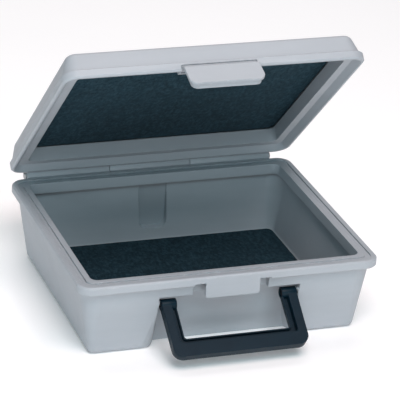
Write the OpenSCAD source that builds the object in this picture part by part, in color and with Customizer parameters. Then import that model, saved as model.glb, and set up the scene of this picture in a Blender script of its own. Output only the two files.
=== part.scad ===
// Moulded plastic carrying case with a foam-lined base and lid, a front latch
// tongue, a swinging bail handle and a full-width rod hinge.
// Millimetres, +Z up, +Y to the hinge side. The origin is the middle of the
// flat face the case rests on. Every node is drawn in its rest position:
// lid part open, latch tongue swung out, handle leaning forward.

/* [Case] */
// Width over the rim
case_w = 300; // [290:1:320]
// Depth over the rim
case_d = 254; // [248:1:270]
// Height of the base from the resting face to its rim
base_h = 77.5; // [75:0.5:80]
// Height of the lid from its rim to its top
lid_h = 29; // [27:0.5:32]
// Wall thickness of both shells
wall = 3.5; // [3:0.1:3.8]
// How far the lid stands open at rest
lid_open = 43.5; // [0:0.5:105]

/* [Latch] */
// Width of the latch tongue
latch_w = 74; // [70:1:75]
// How far the latch tongue is swung out at rest
latch_out = 28; // [0:1:38]
// Radius of the latch pin
latch_pin_r = 1.25; // [1:0.05:1.5]

/* [Handle] */
// Outer width of the handle
handle_w = 134; // [130:1:134]
// Length of the handle from its pivot to its tip
handle_len = 57.5; // [52:0.5:58]
// Angle of the handle from hanging straight down
handle_lean = 55; // [0:1:110]
// Radius of each handle pin
handle_pin_r = 2; // [1.8:0.1:2.2]

/* [Hinge] */
// Half length of the hinge
hinge_half = 130; // [120:1:132]
// Radius of the hinge rod
rod_r = 2; // [1.5:0.1:2.5]

/* [Foam] */
// Thickness of the foam pad in the lid
lid_foam_t = 4; // [3:0.5:4]
// Thickness of the foam pad in the base
base_foam_t = 4; // [3:0.5:8]

/* [Hidden] */
$fn = 96;
hx = case_w / 2;                 // half width and half depth over the rim
hy = case_d / 2;
rim_r = 15;                      // corner radius of the rim, plan view
band_h = 8.5;                    // height of the rim band
band_z = base_h - band_h;
foot_in = 16;                    // outer wall at the bottom, in from the rim
slope = 0.165;                   // draft of the base walls
foot_r = 5.5;                    // rounding of the bottom edges
floor_r = 4.5;                   // rounding inside, wall to floor
mouth_in = 16;                   // inner edge of the base rim
gap = 0.3;                       // parting gap between the rims
hinge_y = hy + 6.8;
hinge_z = base_h;
knuckle_r = 5.5;
third = hinge_half / 3;
run = 0.06;                      // running clearance of the pins

pocket_w = 70.5;                 // half width of the handle pocket at the front
pocket_top = 57.5;
pocket_y = -hy + 32;             // back of the pocket
boss_x = 68;                     // inner end of the handle pin bosses
bore_x = 79;                     // blind end of the handle pin bores
notch_w = 38;                  // half width of the latch recess
notch_y = -hy + 13;      // back of the latch recess
notch_top = base_h - 6.5;
catch_w = 27;                    // half width of the catch panel
catch_t = 3.5;
catch_z = 55.5;                    // lower edge of the catch panel

pivot_y = -hy + 11;              // handle pivot
pivot_z = 47.5;
latch_y = -hy + 3.5;             // latch pivot, lid closed
latch_z = base_h + 4.2;
barrel_r = 3.4;

lid_z = base_h + gap;            // lid rim, lid closed
lid_top = base_h + lid_h;
lid_top_in = 8.5;                // outer lid wall at the top
lid_mouth_in = 17;               // inner edge of the lid rim
ledge_h = 6;                     // depth of the recess inside the lid rim
lid_slope = 0.33;                // draft of the lid walls
lid_round = 7;

shell_grey = [0.70, 0.72, 0.75];
foam_grey = [0.12, 0.17, 0.20];
handle_black = [0.09, 0.13, 0.16];
steel = [0.62, 0.62, 0.60];
film = [0.86, 0.84, 0.76];

// ---- shared construction -------------------------------------------------

// A section drawn as (distance out from the corner centre, height), carried
// round a rounded rectangle and filled in the middle from z0 to z1.
module across(half, z0, z1) {
    translate([-half, z0]) square([2 * half, z1 - z0]);
    translate([half, 0]) children();
    mirror([1, 0]) translate([half, 0]) children();
}

module round_box(hx, hy, z0, z1) {
    rotate([90, 0, 90]) linear_extrude(2 * hx, center = true)
        across(hy, z0, z1) children();
    rotate([90, 0, 0]) linear_extrude(2 * hy, center = true)
        across(hx, z0, z1) children();
    for (a = [0, 1]) for (b = [0, 1])
        mirror([a, 0, 0]) mirror([0, b, 0]) translate([hx, hy, 0])
            rotate_extrude(angle = 90) intersection() {
                children();
                translate([0, -200]) square([200, 600]);
            }
}

// A tray shape from z = 0 to h: half sizes ax and ay at the bottom, walls
// leaning out by sl per millimetre, upright corners of radius c at the bottom,
// and bottom edges rounded by r.
module tray(ax, ay, sl, c, r, h) {
    a = atan(sl);
    rc = c + sl * r - r / cos(a);
    round_box(ax - c, ay - c, 0, h) {
        translate([rc, r]) circle(r);
        polygon([[0, 0], [rc, 0], [rc, r],
            [rc + r * cos(a), r - r * sin(a)], [c + sl * h, h], [0, h]]);
    }
}

// A plain upright rounded rectangle.
module slab(hx, hy, r, z0, z1) {
    translate([0, 0, z0]) linear_extrude(z1 - z0) plate(hx, hy, r);
}

module plate(hx, hy, r) {
    square([2 * hx, 2 * (hy - r)], center = true);
    square([2 * (hx - r), 2 * hy], center = true);
    for (a = [-1, 1]) for (b = [-1, 1])
        translate([a * (hx - r), b * (hy - r)]) circle(r);
}

// A rod along X between two positions.
module rod_x(x0, x1, r, y, z) {
    translate([x0, y, z]) rotate([0, 90, 0]) cylinder(h = x1 - x0, r = r);
}

module block(x0, x1, y0, y1, z0, z1) {
    translate([x0, y0, z0]) cube([x1 - x0, y1 - y0, z1 - z0]);
}

// ---- base ----------------------------------------------------------------

module base_outside() {
    tray(hx - foot_in, hy - foot_in, slope, 6.5, foot_r, band_z + 0.5);
    round_box(hx - rim_r, hy - rim_r, band_z, base_h)
        polygon([[0, band_z], [rim_r - 0.8, band_z], [rim_r, band_z + 0.8],
            [rim_r, base_h - 1.5], [rim_r - 1.5, base_h], [0, base_h]]);
    intersection() {
        rear_rest(18.5, hy - 3.3, 13, 10);
        block(-30, 30, 60, hy - 1, 0, band_z + 2);
    }
}

// Everything hollow inside the walls.
module base_room() {
    k = sqrt(1 + slope * slope);
    inset = foot_in + wall * k - slope * wall;
    translate([0, 0, wall])
        tray(hx - inset, hy - inset, slope, 7, floor_r, base_h - 11 - wall);
    // room behind the skirt that hangs from the inner edge of the rim
    difference() {
        slab(hx - 7.7, hy - 7.7, 15, base_h - 12, base_h - 3);
        slab(hx - mouth_in + 2.2, hy - mouth_in + 2.2, 9.2,
            base_h - 11, base_h);
    }
    slab(hx - mouth_in, hy - mouth_in, 7, base_h - 14, base_h + 5);
    intersection() {
        rear_rest(15, hy - 7.5, 17, 9);
        block(-30, 30, 90, hy, 0, base_h - 11);
    }
}

// The handle pocket, open at the front and below.
module pocket(grow) {
    translate([0, 0, -20]) linear_extrude(20 + pocket_top + grow)
        pocket_plan(grow);
}

module pocket_plan(grow) {
    x0 = pocket_w + grow;
    x1 = pocket_w - 6.5 + grow;
    polygon([[-x0, -hy - 13], [-x0, -hy + 17], [-x1, pocket_y + grow],
        [x1, pocket_y + grow], [x0, -hy + 17], [x0, -hy - 13]]);
}

// Faceted rounding down each front corner of the pocket, widest at the foot,
// and the chamfer below it.
module pocket_relief(grow) {
    for (s = [0, 1]) mirror([s, 0, 0]) {
        relief_plane(13.5, 16, 12, 12.8, grow);
        relief_plane(5.5, 17.7, 35, 13.5, grow);
        relief_plane(2, 20.15, 62, 9.3, grow);
        relief_plane(3.5, 20.8, 45, 48, grow);
    }
}

module relief_plane(x, y, turn, tilt, grow) {
    intersection() {
        translate([-pocket_w - x, -hy + y, 0]) rotate([0, 0, turn])
            rotate([tilt, 0, 0]) block(-60, 60, -40, grow, -60, 70);
        block(-pocket_w - 30, -pocket_w + 6.5 + grow, -hy - 5,
            pocket_y + grow, -5, pocket_top - 4);
    }
}

module pin_bosses(x0, x1, r) {
    for (s = [0, 1]) mirror([s, 0, 0]) rod_x(x0, x1, r, pivot_y, pivot_z);
}

module latch_recess(grow, top) {
    block(-notch_w - grow, notch_w + grow, -hy - 13, notch_y + grow, 50, top);
}

// Flat-backed rest moulded down the middle of the rear wall.
module rear_rest(half, y, z0, r) {
    translate([0, y, 0]) rotate([90, 0, 0]) linear_extrude(40)
        translate([0, (z0 + base_h) / 2 + 10])
            plate(half, (base_h - z0) / 2 + 10, r);
}

module base_knuckles() {
    for (s = [0, 1]) mirror([s, 0, 0]) {
        rod_x(third + 0.3, hinge_half, knuckle_r, hinge_y, hinge_z);
        translate([third + 0.3, 0, 0]) rotate([90, 0, 90])
            linear_extrude(hinge_half - third - 0.3)
                polygon([[hy - 3, band_z + 1], [hy, band_z],
                    [hinge_y + 4.5, hinge_z - 3.1], [hinge_y, hinge_z],
                    [hy - 3, hinge_z - 0.5]]);
    }
}

module base_shell() {
    color(shell_grey) difference() {
        union() {
            difference() {
                base_outside();
                // room inside, less the walls of the pocket and the recess
                difference() {
                    base_room();
                    pocket(3);
                    pocket_relief(3);
                    latch_recess(3, base_h);
                    pin_bosses(pocket_w, bore_x + 3, 5.5);
                }
                difference() {
                    pocket(0);
                    pin_bosses(boss_x, bore_x, 4.6);
                }
                pocket_relief(0);
                latch_recess(0, notch_top);
            }
            // catch panel hanging in front of the recess
            translate([0, -hy + catch_t, 0]) rotate([90, 0, 0])
                linear_extrude(catch_t)
                    translate([0, (catch_z + base_h - 2) / 2])
                        plate(catch_w, (base_h - 2 - catch_z) / 2, 3);
            base_knuckles();
        }
        // groove round the rim
        difference() {
            slab(hx - 5.8, hy - 5.8, 9.2, base_h - 1.6, base_h + 1);
            slab(hx - 10.7, hy - 10.7, 6.5, base_h - 3, base_h + 2);
        }
        // bores
        rod_x(-hinge_half - 5, hinge_half + 5, rod_r + run, hinge_y, hinge_z);
        pin_bosses(boss_x - 2, bore_x, handle_pin_r + run);
    }
}

// ---- lid, drawn closed and then opened ------------------------------------

module lid_pose() {
    translate([0, hinge_y, hinge_z]) rotate([-lid_open, 0, 0])
        translate([0, -hinge_y, -hinge_z]) children();
}

module lid_outside() {
    translate([0, 0, lid_top]) mirror([0, 0, 1])
        tray(hx - lid_top_in, hy - lid_top_in, lid_slope, 8.5, lid_round,
            lid_h - gap - band_h + 0.5);
    round_box(hx - rim_r, hy - rim_r, lid_z, lid_z + band_h)
        polygon([[0, lid_z], [rim_r - 1.5, lid_z], [rim_r, lid_z + 1.5],
            [rim_r, lid_z + band_h - 0.8], [rim_r - 0.8, lid_z + band_h],
            [0, lid_z + band_h]]);
}

// Everything hollow inside the walls: the bevelled recess inside the rim, the
// opening through the ledge above it, and the room behind the skirt.
module lid_room() {
    difference() {
        round_box(hx - rim_r, hy - rim_r, lid_z - 3, lid_z + ledge_h)
            polygon([[0, lid_z - 3], [rim_r - 3.2, lid_z - 3],
                [rim_r - 3.2, lid_z], [rim_r - 9, lid_z + ledge_h],
                [0, lid_z + ledge_h]]);
        // solid behind the latch pivot
        block(-latch_w / 2 - 2, latch_w / 2 + 2, -hy - 13, -hy + 9.8,
            lid_z - 5, lid_z + ledge_h + 1);
    }
    slab(hx - lid_mouth_in, hy - lid_mouth_in, 6, lid_z + 1, lid_z + 22);
    difference() {
        translate([0, 0, lid_top - wall]) mirror([0, 0, 1])
            tray(hx - 12.2, hy - 12.2, 0.3, 6, 4.5,
                lid_top - wall - lid_z - ledge_h - 3);
        slab(hx - lid_mouth_in + 2.2, hy - lid_mouth_in + 2.2, 8.2,
            lid_z, lid_z + ledge_h + 14.5);
    }
}

module lid_knuckle() {
    x = third - 0.3;
    rod_x(-x, x, knuckle_r, hinge_y, hinge_z);
    translate([-x, 0, 0]) rotate([90, 0, 90]) linear_extrude(2 * x)
        polygon([[hy - 3, lid_z + band_h - 1],
            [hy, lid_z + band_h],
            [hinge_y + 4.5, hinge_z + 3.1], [hinge_y, hinge_z],
            [hy - 3, lid_z + 0.8]]);
}

module lid_shell() {
    color(shell_grey) lid_pose() difference() {
        union() {
            difference() {
                lid_outside();
                lid_room();
            }
            lid_knuckle();
        }
        // seat of the latch tongue
        block(-latch_w / 2 - 0.4, latch_w / 2 + 0.4, -hy - 13,
            latch_y + barrel_r + 0.35, lid_z - 5, latch_z);
        rod_x(-latch_w / 2 - 0.4, latch_w / 2 + 0.4, barrel_r + 0.35,
            latch_y, latch_z);
        // bores
        rod_x(-latch_w / 2 - 7, latch_w / 2 + 7, latch_pin_r + run,
            latch_y, latch_z);
        rod_x(-hinge_half, hinge_half, rod_r + run, hinge_y, hinge_z);
    }
}

// ---- hinge ----------------------------------------------------------------

module hinge_rod() {
    color(steel)
        rod_x(-hinge_half - 1.5, hinge_half + 1.5, rod_r, hinge_y, hinge_z);
}

module hinge_cap(s) {
    color(steel) translate([s * (hinge_half + 0.1), hinge_y, hinge_z])
        rotate([0, s * 90, 0]) difference() {
            union() {
                cylinder(h = 1.4, r = 4.2);
                translate([0, 0, 1.4]) cylinder(h = 1, r1 = 4.2, r2 = 2.8);
            }
            translate([0, 0, -1]) cylinder(h = 2.4, r = rod_r);
        }
}

module hinge_cap_left() hinge_cap(-1);
module hinge_cap_right() hinge_cap(1);

// ---- foam -----------------------------------------------------------------

module base_pad_plan(inset) {
    in = foot_in + 5.2 + inset;
    difference() {
        plate(hx - in, hy - in, 6);
        pocket_plan(3.6 + inset);
        for (s = [0, 1]) mirror([s, 0])
            polygon([[-pocket_w - 16, -hy + 5], [-pocket_w + 3, -hy + 5],
                [-pocket_w + 3, -hy + 36 + inset],
                [-pocket_w - 6, -hy + 22.4 + inset],
                [-pocket_w - 16, -hy + 18.6 + inset]]);
    }
}

module base_pad_adhesive() {
    color(film) translate([0, 0, wall]) linear_extrude(0.3)
        base_pad_plan(4);
}

module base_foam_pad() {
    color(foam_grey) translate([0, 0, wall + 0.3])
        linear_extrude(base_foam_t) base_pad_plan(0);
}

module lid_pad_adhesive() {
    color(film) lid_pose()
        slab(hx - 21, hy - 21, 8, lid_top - wall - 0.3, lid_top - wall);
}

module lid_foam_pad() {
    top = lid_top - wall - 0.3;
    color(foam_grey) lid_pose()
        slab(hx - 16.6, hy - 16.6, 9, top - lid_foam_t, top);
}

// ---- handle, drawn hanging straight down from its pivot --------------------

module handle_pose() {
    translate([0, pivot_y, pivot_z]) rotate([-handle_lean, 0, 0]) children();
}

// The opening between the legs: legs as wide as leg, open down to open_h.
module handle_opening(leg, open_h, r) {
    x = handle_w / 2 - leg;
    translate([-x, -open_h + r]) square([2 * x, open_h + 1]);
    translate([-x + r, -open_h]) square([2 * (x - r), open_h]);
    for (s = [-1, 1]) translate([s * (x - r), -open_h + r]) circle(r);
}

module handle_plan(leg, open_h, r) {
    w = handle_w / 2;
    difference() {
        union() {
            translate([-w, -handle_len + 10]) square([2 * w, handle_len - 10]);
            translate([-w + 10, -handle_len]) square([2 * w - 20, 20]);
            for (s = [-1, 1]) translate([s * (w - 10), -handle_len + 10])
                circle(10);
        }
        handle_opening(leg, open_h, r);
    }
}

module handle() {
    w = handle_w / 2;
    color(handle_black) handle_pose() difference() {
        union() {
            // back plate of the U
            translate([0, 4.5, 0]) rotate([90, 0, 0]) linear_extrude(2.5)
                handle_plan(14.3, handle_len - 19.5, 2.5);
            // thick outer rim
            translate([0, 4.5, 0]) rotate([90, 0, 0]) linear_extrude(9)
                handle_plan(8.7, handle_len - 13.5, 3.5);
            // low lip round the opening
            translate([0, 4.5, 0]) rotate([90, 0, 0]) linear_extrude(5.5)
                difference() {
                    handle_opening(12.8, handle_len - 18, 3.7);
                    handle_opening(14.3, handle_len - 19.5, 2.5);
                    translate([-w, -5]) square([2 * w, 20]);
                }
            // pivot heads
            for (s = [0, 1]) mirror([s, 0, 0])
                rod_x(w - 14.3, w + 0.5, 5.6, 0, 0);
        }
        // the legs end round the pivot heads
        difference() {
            block(-w - 5, w + 5, -8, 8, 0, 9);
            rod_x(-w - 6, w + 6, 5.6, 0, 0);
        }
        // channels in the back of the legs and grip
        for (s = [0, 1]) mirror([s, 0, 0])
            block(w - 6.9, w - 1.8, 0.5, 7, -handle_len + 13, -9);
        block(-w + 13, w - 13, 0.5, 7, -handle_len + 2, -handle_len + 11.6);
        // counterbores for the pin heads, and the pin bores
        for (s = [0, 1]) mirror([s, 0, 0])
            rod_x(w - 15, w - 11.4, 4.2, 0, 0);
        rod_x(-w - 5, w + 5, handle_pin_r + run, 0, 0);
    }
}

module handle_pin(s) {
    w = handle_w / 2;
    color(steel) handle_pose() rotate([0, 0, s > 0 ? 0 : 180]) {
        rod_x(w - 12, bore_x - 0.3, handle_pin_r, 0, 0);
        rod_x(w - 12.9, w - 11.4, 4, 0, 0);
    }
}

module handle_pin_left() handle_pin(-1);
module handle_pin_right() handle_pin(1);

// ---- latch, drawn latched with the lid closed, then swung out --------------

module latch_pose() {
    lid_pose() translate([0, latch_y, latch_z]) rotate([-latch_out, 0, 0])
        translate([0, -latch_y, -latch_z]) children();
}

module latch_tongue() {
    w = latch_w / 2;
    yf = -hy - 3.8;              // outer face
    yi = -hy - 1;                // inner face, in front of the catch panel
    zb = catch_z - 4.4;          // lower edge
    color(shell_grey) latch_pose() difference() {
        union() {
            rod_x(-w, w, barrel_r, latch_y, latch_z);
            // front plate with rounded lower corners
            translate([0, yi, 0]) rotate([90, 0, 0]) linear_extrude(yi - yf)
                difference() {
                    translate([0, (zb + latch_z) / 2])
                        plate(w, (latch_z - zb) / 2, 7.5);
                    translate([-w - 1, latch_z - 7]) square([2 * w + 2, 11]);
                }
            // shoulder between the pivot barrel and the plate
            translate([-w, 0, 0]) rotate([90, 0, 90]) linear_extrude(2 * w)
                polygon([[yf, latch_z - 7], [yi, latch_z - 8.2],
                    [latch_y - 2.4, latch_z - 2.4], [latch_y, latch_z],
                    [latch_y - 3.2, latch_z - 1.15]]);
            // hook under the catch panel, and cheeks beside it
            translate([0, -hy + 4, 0]) rotate([90, 0, 0])
                linear_extrude(6.8) difference() {
                    translate([0, (zb + latch_z) / 2 + 0.6])
                        plate(w - 2.4, (latch_z - zb) / 2, 6);
                    translate([-catch_w - 2, catch_z - 0.4])
                        square([2 * catch_w + 4, 50]);
                    translate([-w, base_h - 9]) square([2 * w, 50]);
                }
        }
        rod_x(-w - 1, w + 1, latch_pin_r + run, latch_y, latch_z);
    }
}

module latch_pin() {
    color(steel) latch_pose()
        rod_x(-latch_w / 2 - 6, latch_w / 2 + 6, latch_pin_r,
            latch_y, latch_z);
}

// ---- placement --------------------------------------------------------------

base_shell();
lid_shell();
hinge_rod();
hinge_cap_left();
hinge_cap_right();
base_foam_pad();
base_pad_adhesive();
lid_foam_pad();
lid_pad_adhesive();
handle();
handle_pin_left();
handle_pin_right();
latch_tongue();
latch_pin();
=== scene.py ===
"""Looks for a moulded plastic carrying case: materials, soft pads and studio round the CAD frame."""
import math

import bmesh
import bpy
from mathutils import Matrix, Vector, noise


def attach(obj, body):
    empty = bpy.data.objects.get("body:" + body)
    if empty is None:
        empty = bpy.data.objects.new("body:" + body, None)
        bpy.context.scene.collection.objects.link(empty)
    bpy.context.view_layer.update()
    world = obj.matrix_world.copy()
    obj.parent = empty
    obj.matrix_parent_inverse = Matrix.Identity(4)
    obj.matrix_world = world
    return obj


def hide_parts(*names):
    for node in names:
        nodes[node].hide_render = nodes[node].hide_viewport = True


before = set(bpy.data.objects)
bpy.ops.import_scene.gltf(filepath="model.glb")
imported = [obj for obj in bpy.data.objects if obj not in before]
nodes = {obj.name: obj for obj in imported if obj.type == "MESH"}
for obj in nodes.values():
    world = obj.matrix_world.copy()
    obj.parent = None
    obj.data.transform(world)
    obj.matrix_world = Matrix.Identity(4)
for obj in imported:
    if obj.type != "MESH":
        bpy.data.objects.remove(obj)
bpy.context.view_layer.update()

# Metres and degrees.
LID_OPEN = 43.5          # how far the lid stands open at rest
WELD_GAP = 0.00002       # joins the doubled corners of the CAD meshes
PAD_VOXEL = 0.0014       # size of the mesh cells of the foam pads
SLOW_GRAIN = 22.0        # waves per metre of a pad's unevenness
FINE_GRAIN = 430.0       # waves per metre of its open cells

EYE = (-0.75605, -2.04477, 1.07728)
YAW, PITCH, ROLL = -20.58, -24.21, 3.64
SENSOR = 36.0            # millimetres, as is the lens
LENS = 220.2624
SHIFT = (-0.006975, 0.0034)

# ---------------------------------------------------------------- helpers


def camera_matrix(eye, yaw, pitch, roll):
    """Camera matrix from an eye point and angles in degrees."""
    y, p, r = (math.radians(a) for a in (yaw, pitch, roll))
    fwd = Vector((math.sin(-y) * math.cos(p), math.cos(y) * math.cos(p), math.sin(p)))
    right = fwd.cross(Vector((0, 0, 1))).normalized()
    up = right.cross(fwd)
    right, up = (math.cos(r) * right + math.sin(r) * up,
                 -math.sin(r) * right + math.cos(r) * up)
    m = Matrix((right, up, -fwd)).transposed().to_4x4()
    m.translation = Vector(eye)
    return m


class Mat:
    """A node material under construction."""

    def __init__(self, name):
        self.m = bpy.data.materials.new(name)
        self.m.use_nodes = True
        self.t = self.m.node_tree
        self.b = self.t.nodes["Principled BSDF"]
        tc = self.t.nodes.new("ShaderNodeTexCoord")
        self.pos = tc.outputs["Object"]

    def add(self, kind, **kw):
        n = self.t.nodes.new("ShaderNode" + kind)
        for k, v in kw.items():
            if hasattr(n, k):
                setattr(n, k, v)
            else:
                n.inputs[k.replace("_", " ")].default_value = v
        return n

    def link(self, a, b):
        self.t.links.new(a, b)

    def noise(self, scale, detail=3.0, rough=0.5, stretch=None):
        n = self.add("TexNoise")
        n.inputs["Scale"].default_value = scale
        n.inputs["Detail"].default_value = detail
        n.inputs["Roughness"].default_value = rough
        src = self.pos
        if stretch:
            mp = self.add("Mapping")
            mp.inputs["Scale"].default_value = stretch
            self.link(src, mp.inputs["Vector"])
            src = mp.outputs["Vector"]
        self.link(src, n.inputs["Vector"])
        return n.outputs["Fac"]

    def ramp(self, fac, stops):
        n = self.add("ValToRGB")
        e = n.color_ramp.elements
        e[0].position, e[0].color = stops[0][0], stops[0][1]
        e[1].position, e[1].color = stops[-1][0], stops[-1][1]
        for p, c in stops[1:-1]:
            x = e.new(p)
            x.color = c
        self.link(fac, n.inputs["Fac"])
        return n.outputs["Color"]

    def scale(self, fac, lo, hi, a=0.0, b=1.0):
        n = self.add("MapRange")
        for k, v in zip(("From Min", "From Max", "To Min", "To Max"), (a, b, lo, hi)):
            n.inputs[k].default_value = v
        self.link(fac, n.inputs["Value"])
        return n.outputs["Result"]

    def mix(self, fac, a, b, mode="MIX"):
        n = self.add("Mix")
        n.data_type = "RGBA"
        n.blend_type = mode
        for sock, val in ((n.inputs["Factor"], fac), (n.inputs[6], a), (n.inputs[7], b)):
            if isinstance(val, bpy.types.NodeSocket):
                self.link(val, sock)
            else:
                sock.default_value = val
        return n.outputs[2]

    def bump(self, height, dist, strength=1.0, normal=None):
        n = self.add("Bump")
        n.inputs["Strength"].default_value = strength
        n.inputs["Distance"].default_value = dist
        self.link(height, n.inputs["Height"])
        if normal is not None:
            self.link(normal, n.inputs["Normal"])
        return n.outputs["Normal"]

    def edge(self, radius):
        """Normal softened over sharp edges."""
        bv = self.add("Bevel")
        bv.samples = 4
        bv.inputs["Radius"].default_value = radius
        return bv.outputs["Normal"]

    def worn(self, radius, amount=0.8):
        """Patchy mask of the edges, where the softened normal turns from the true one."""
        bv = self.add("Bevel")
        bv.samples = 4
        bv.inputs["Radius"].default_value = radius
        geo = self.add("NewGeometry")
        dot = self.add("VectorMath", operation="DOT_PRODUCT")
        self.link(bv.outputs["Normal"], dot.inputs[0])
        self.link(geo.outputs["Normal"], dot.inputs[1])
        edge = self.scale(dot.outputs["Value"], amount, 0.0, 0.82, 0.995)
        patch = self.scale(self.noise(120.0, 5.0, 0.7), 0.0, 1.0, 0.48, 0.64)
        mul = self.add("Math", operation="MULTIPLY")
        self.link(edge, mul.inputs[0])
        self.link(patch, mul.inputs[1])
        return mul.outputs[0]


def grey(v, a=1.0):
    return (v, v, v, a)


# ---------------------------------------------------------------- materials


def shell_plastic():
    """Pale grey moulded plastic with a fine satin grain and light handling marks."""
    m = Mat("shell_plastic")
    cloud = m.noise(7.0, 4.0, 0.55)
    flow = m.noise(9.0, 4.0, 0.6, stretch=(1.0, 3.0, 6.0))
    scuff = m.noise(55.0, 6.0, 0.72, stretch=(1.0, 1.6, 3.2))
    base = m.ramp(cloud, [(0.30, (0.370, 0.400, 0.434, 1)), (0.70, (0.410, 0.438, 0.470, 1))])
    tint = m.ramp(flow, [(0.35, grey(0.95)), (0.65, grey(1.0))])
    col = m.mix(1.0, base, tint, "MULTIPLY")
    marks = m.scale(scuff, 0.0, 0.35, 0.66, 0.80)
    col = m.mix(marks, col, (0.50, 0.53, 0.565, 1))
    wear = m.worn(0.0016)
    col = m.mix(wear, col, (0.58, 0.61, 0.64, 1))
    m.link(col, m.b.inputs["Base Color"])
    rough = m.scale(m.noise(60.0, 4.0, 0.6), 0.42, 0.56)
    m.link(rough, m.b.inputs["Roughness"])
    nrm = m.edge(0.0010)
    nrm = m.bump(m.noise(1500.0, 2.0, 0.6), 0.00006, 0.55, nrm)
    nrm = m.bump(m.noise(28.0, 2.0, 0.5), 0.0008, 0.12, nrm)
    nrm = m.bump(scuff, 0.00008, 0.35, nrm)
    m.link(nrm, m.b.inputs["Normal"])
    m.b.inputs["IOR"].default_value = 1.47
    m.b.inputs["Specular IOR Level"].default_value = 0.42
    return m.m


def handle_plastic():
    """Blue-black moulded plastic with patches of more and less gloss."""
    m = Mat("handle_plastic")
    cloud = m.noise(40.0, 3.0, 0.55)
    base = m.ramp(cloud, [(0.3, (0.0010, 0.0110, 0.0200, 1)), (0.7, (0.0022, 0.0155, 0.0265, 1))])
    wear = m.worn(0.0012)
    base = m.mix(wear, base, (0.020, 0.034, 0.048, 1))
    m.link(base, m.b.inputs["Base Color"])
    m.link(m.scale(m.noise(180.0, 4.0, 0.6), 0.34, 0.50), m.b.inputs["Roughness"])
    nrm = m.edge(0.0011)
    nrm = m.bump(m.noise(900.0, 2.0, 0.6), 0.00007, 0.6, nrm)
    nrm = m.bump(m.noise(70.0, 3.0, 0.5, stretch=(0.4, 2.0, 2.0)), 0.00035, 0.25, nrm)
    m.link(nrm, m.b.inputs["Normal"])
    m.b.inputs["IOR"].default_value = 1.5
    m.b.inputs["Specular IOR Level"].default_value = 0.16
    return m.m


def foam(name, k):
    """Dark crushed-cell foam with paler flecks a millimetre or two across; k scales its colour, so a
    higher k paints in light that the pad catches.
    """
    m = Mat(name)
    cell = m.add("TexVoronoi")
    cell.inputs["Scale"].default_value = 900.0
    m.link(m.pos, cell.inputs["Vector"])
    fleck = m.noise(330.0, 3.0, 0.70, stretch=(1.0, 0.55, 0.55))
    patch = m.noise(150.0, 3.0, 0.6, stretch=(1.0, 0.6, 0.6))
    cloud = m.noise(16.0, 3.0, 0.55)
    base = m.ramp(fleck, [(0.36, (0.0066 * k, 0.0230 * k, 0.0335 * k, 1)),
                          (0.50, (0.0110 * k, 0.0325 * k, 0.0460 * k, 1)),
                          (0.64, (0.0200 * k, 0.0480 * k, 0.0650 * k, 1))])
    tone = m.ramp(patch, [(0.36, grey(0.80)), (0.62, grey(1.0))])
    base = m.mix(1.0, base, tone, "MULTIPLY")
    tint = m.ramp(cloud, [(0.3, grey(0.86)), (0.7, grey(1.0))])
    m.link(m.mix(1.0, base, tint, "MULTIPLY"), m.b.inputs["Base Color"])
    m.link(m.scale(patch, 0.88, 1.0), m.b.inputs["Roughness"])
    m.b.inputs["Specular IOR Level"].default_value = 0.06
    m.b.inputs["Sheen Weight"].default_value = 0.03
    m.b.inputs["Sheen Roughness"].default_value = 0.6
    nrm = m.bump(cell.outputs["Distance"], 0.0004, 0.6)
    nrm = m.bump(fleck, 0.0005, 0.5, nrm)
    m.link(nrm, m.b.inputs["Normal"])
    return m.m


def film():
    """Waxy double-sided mounting film."""
    m = Mat("adhesive_film")
    base = m.ramp(m.noise(60.0), [(0.3, (0.60, 0.57, 0.46, 1)), (0.7, (0.70, 0.67, 0.55, 1))])
    m.link(base, m.b.inputs["Base Color"])
    m.link(m.scale(m.noise(200.0), 0.35, 0.55), m.b.inputs["Roughness"])
    m.link(m.bump(m.noise(240.0), 0.0001, 0.3), m.b.inputs["Normal"])
    return m.m


def steel(name, dark, light, rough):
    """Drawn steel wire, brushed along its length."""
    m = Mat(name)
    line = m.noise(90.0, 4.0, 0.6, stretch=(2.0, 40.0, 40.0))
    base = m.ramp(line, [(0.3, (*dark, 1)), (0.7, (*light, 1))])
    wear = m.worn(0.0005)
    base = m.mix(wear, base, (0.62, 0.62, 0.60, 1))
    m.link(base, m.b.inputs["Base Color"])
    m.b.inputs["Metallic"].default_value = 1.0
    m.link(m.scale(line, rough, rough + 0.16), m.b.inputs["Roughness"])
    m.link(m.bump(line, 0.00003, 0.5, m.edge(0.0003)), m.b.inputs["Normal"])
    return m.m


SHELL, HANDLE, FILM = shell_plastic(), handle_plastic(), film()
# Both pads are the same foam: the lid pad's k of 1.50 against the base pad's 1.05 is painted light,
# lightening the lid foam for the extra light it catches.
BASE_FOAM, LID_FOAM_PAINTED_LIGHTER = foam("base_foam", 1.05), foam("lid_foam", 1.50)
STEEL = steel("steel_wire", (0.30, 0.31, 0.32), (0.44, 0.45, 0.46), 0.30)
BLACK_STEEL = steel("blackened_steel", (0.018, 0.020, 0.024), (0.035, 0.038, 0.044), 0.38)


def paint(node, mat):
    o = nodes[node]
    for slot in o.material_slots:
        slot.material = mat
    if not o.material_slots:
        o.data.materials.append(mat)


for n in ("base_shell", "lid_shell", "latch_tongue"):
    paint(n, SHELL)
paint("handle", HANDLE)
for n in ("hinge_rod", "hinge_cap_left", "hinge_cap_right", "latch_pin"):
    paint(n, STEEL)
for n in ("handle_pin_left", "handle_pin_right"):
    paint(n, BLACK_STEEL)
for n in ("base_pad_adhesive", "lid_pad_adhesive"):
    paint(n, FILM)

# ---------------------------------------------------------------- edge rounding


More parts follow.
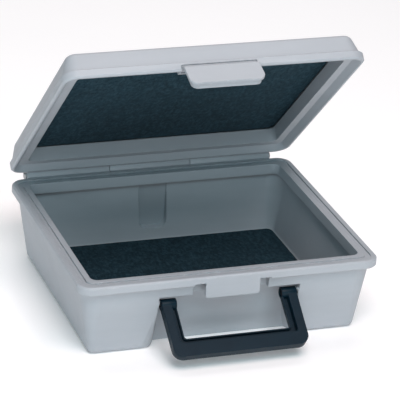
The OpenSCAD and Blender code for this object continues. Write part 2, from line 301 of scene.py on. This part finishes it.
def round_edges(node, width):
    """Rounds every edge sharper than 38 degrees."""
    obj = nodes[node]
    weld = obj.modifiers.new("weld", "WELD")
    weld.merge_threshold = WELD_GAP
    bevel = obj.modifiers.new("round_edges", "BEVEL")
    bevel.width = width
    bevel.segments = 2
    bevel.limit_method = "ANGLE"
    bevel.angle_limit = math.radians(38)
    bevel.use_clamp_overlap = True
    bevel.harden_normals = False


round_edges("handle", 0.0011)
round_edges("latch_tongue", 0.0006)
round_edges("base_shell", 0.0007)
round_edges("lid_shell", 0.0007)

# ---------------------------------------------------------------- foam pads


def soft_copy(name, node):
    """A remeshed copy of a CAD pad with its edges smoothed, in world axes."""
    src = nodes[node]
    bpy.context.view_layer.update()
    mesh = src.data.copy()
    mesh.transform(src.matrix_world)
    draft = bpy.data.objects.new(name, mesh)
    bpy.context.scene.collection.objects.link(draft)
    weld = draft.modifiers.new("weld", "WELD")
    weld.merge_threshold = WELD_GAP
    remesh = draft.modifiers.new("remesh", "REMESH")
    remesh.mode = "VOXEL"
    remesh.voxel_size = PAD_VOXEL
    remesh.use_smooth_shade = True
    smooth = draft.modifiers.new("smooth", "SMOOTH")
    smooth.factor = 0.5
    smooth.iterations = 4
    graph = bpy.context.evaluated_depsgraph_get()
    out = bpy.data.meshes.new_from_object(draft.evaluated_get(graph))
    bpy.data.objects.remove(draft)
    return out


def foam_pad(name, node, body, face, seed, mat):
    """A cut foam pad: soft edges, a slightly uneven skin and open cells on its show face.

    face is the direction in world axes that the show face looks at rest.
    """
    mesh = soft_copy(name, node)
    obj = bpy.data.objects.new(name, mesh)
    bpy.context.scene.collection.objects.link(obj)
    bm = bmesh.new()
    bm.from_mesh(mesh)
    bm.normal_update()
    show = Vector(face).normalized()
    start = Vector((seed * 0.37, seed * 0.11, 0))
    for v in bm.verts:
        facing = max(0.0, v.normal.dot(show))
        slow = noise.noise(v.co * SLOW_GRAIN + start)
        fine = noise.noise(v.co * FINE_GRAIN + start)
        sink = facing * (0.00022 + 0.00020 * slow)
        cells = (0.3 + 0.7 * facing) * 0.00016 * (1 + fine)
        v.co -= v.normal * (sink + cells)
    bm.to_mesh(mesh)
    bm.free()
    mesh.materials.clear()
    mesh.materials.append(mat)
    for p in mesh.polygons:
        p.use_smooth = True
    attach(obj, body)
    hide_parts(node)


tilt = math.radians(LID_OPEN)
foam_pad("base_foam", "base_foam_pad", "base", (0, 0, 1), 1, BASE_FOAM)
foam_pad("lid_foam", "lid_foam_pad", "lid", (0, -math.sin(tilt), -math.cos(tilt)), 2, LID_FOAM_PAINTED_LIGHTER)

# ---------------------------------------------------------------- studio

cam_data = bpy.data.cameras.new("camera")
cam = bpy.data.objects.new("camera", cam_data)
bpy.context.scene.collection.objects.link(cam)
cam.matrix_world = camera_matrix(EYE, YAW, PITCH, ROLL)
cam_data.sensor_width = SENSOR
cam_data.lens = LENS
cam_data.shift_x, cam_data.shift_y = SHIFT
cam_data.clip_start = 0.05
cam_data.clip_end = 50.0
bpy.context.scene.camera = cam

bpy.ops.mesh.primitive_plane_add(size=14.0, location=(0, 0, -0.0002))
floor = bpy.context.object
floor.name = "studio_floor"
fm = Mat("studio_floor")
cove = fm.ramp(fm.noise(3.0), [(0.3, (0.93, 0.93, 0.932, 1)), (0.7, (0.945, 0.945, 0.948, 1))])
fm.link(cove, fm.b.inputs["Base Color"])
fm.b.inputs["Roughness"].default_value = 0.95
fm.b.inputs["Specular IOR Level"].default_value = 0.1
fm.b.inputs["Emission Color"].default_value = (1.0, 1.0, 1.0, 1)
fm.b.inputs["Emission Strength"].default_value = 0.12
floor.data.materials.append(fm.m)

bpy.context.scene.view_settings.view_transform = "Standard"
world = bpy.data.worlds.new("studio")
bpy.context.scene.world = world
world.use_nodes = True
world.node_tree.nodes["Background"].inputs["Color"].default_value = (0.85, 0.94, 1.0, 1)
world.node_tree.nodes["Background"].inputs["Strength"].default_value = 0.12


def area(name, loc, aim, size, power, colour):
    """A rectangular softbox at loc that looks at aim."""
    d = bpy.data.lights.new(name, "AREA")
    d.shape = "RECTANGLE"
    d.size, d.size_y = size
    d.energy = power
    d.color = colour
    o = bpy.data.objects.new(name, d)
    o.location = loc
    o.rotation_mode = "QUATERNION"
    o.rotation_quaternion = (Vector(aim) - Vector(loc)).to_track_quat("-Z", "Y")
    bpy.context.scene.collection.objects.link(o)


area("key_softbox", (0.0, -1.05, 2.0), (0, 0, 0.1), (1.4, 0.9), 30.0, (1.0, 0.78, 0.75))
area("front_fill", (-0.2, -1.7, 1.9), (0, 0, 0.1), (1.6, 1.2), 22.0, (0.60, 0.92, 1.0))
area("front_low_softbox", (-0.25, -2.5, 0.30), (0, 0, 0.12), (2.0, 0.45), 15.0, (0.90, 0.97, 1.0))
area("left_softbox", (-2.4, -0.5, 0.55), (0, 0, 0.08), (1.2, 0.7), 8.0, (0.74, 0.93, 1.0))
area("back_top_softbox", (0.1, 1.25, 2.3), (0, 0.7, 0), (2.4, 1.6), 30.0, (1.0, 0.97, 0.97))
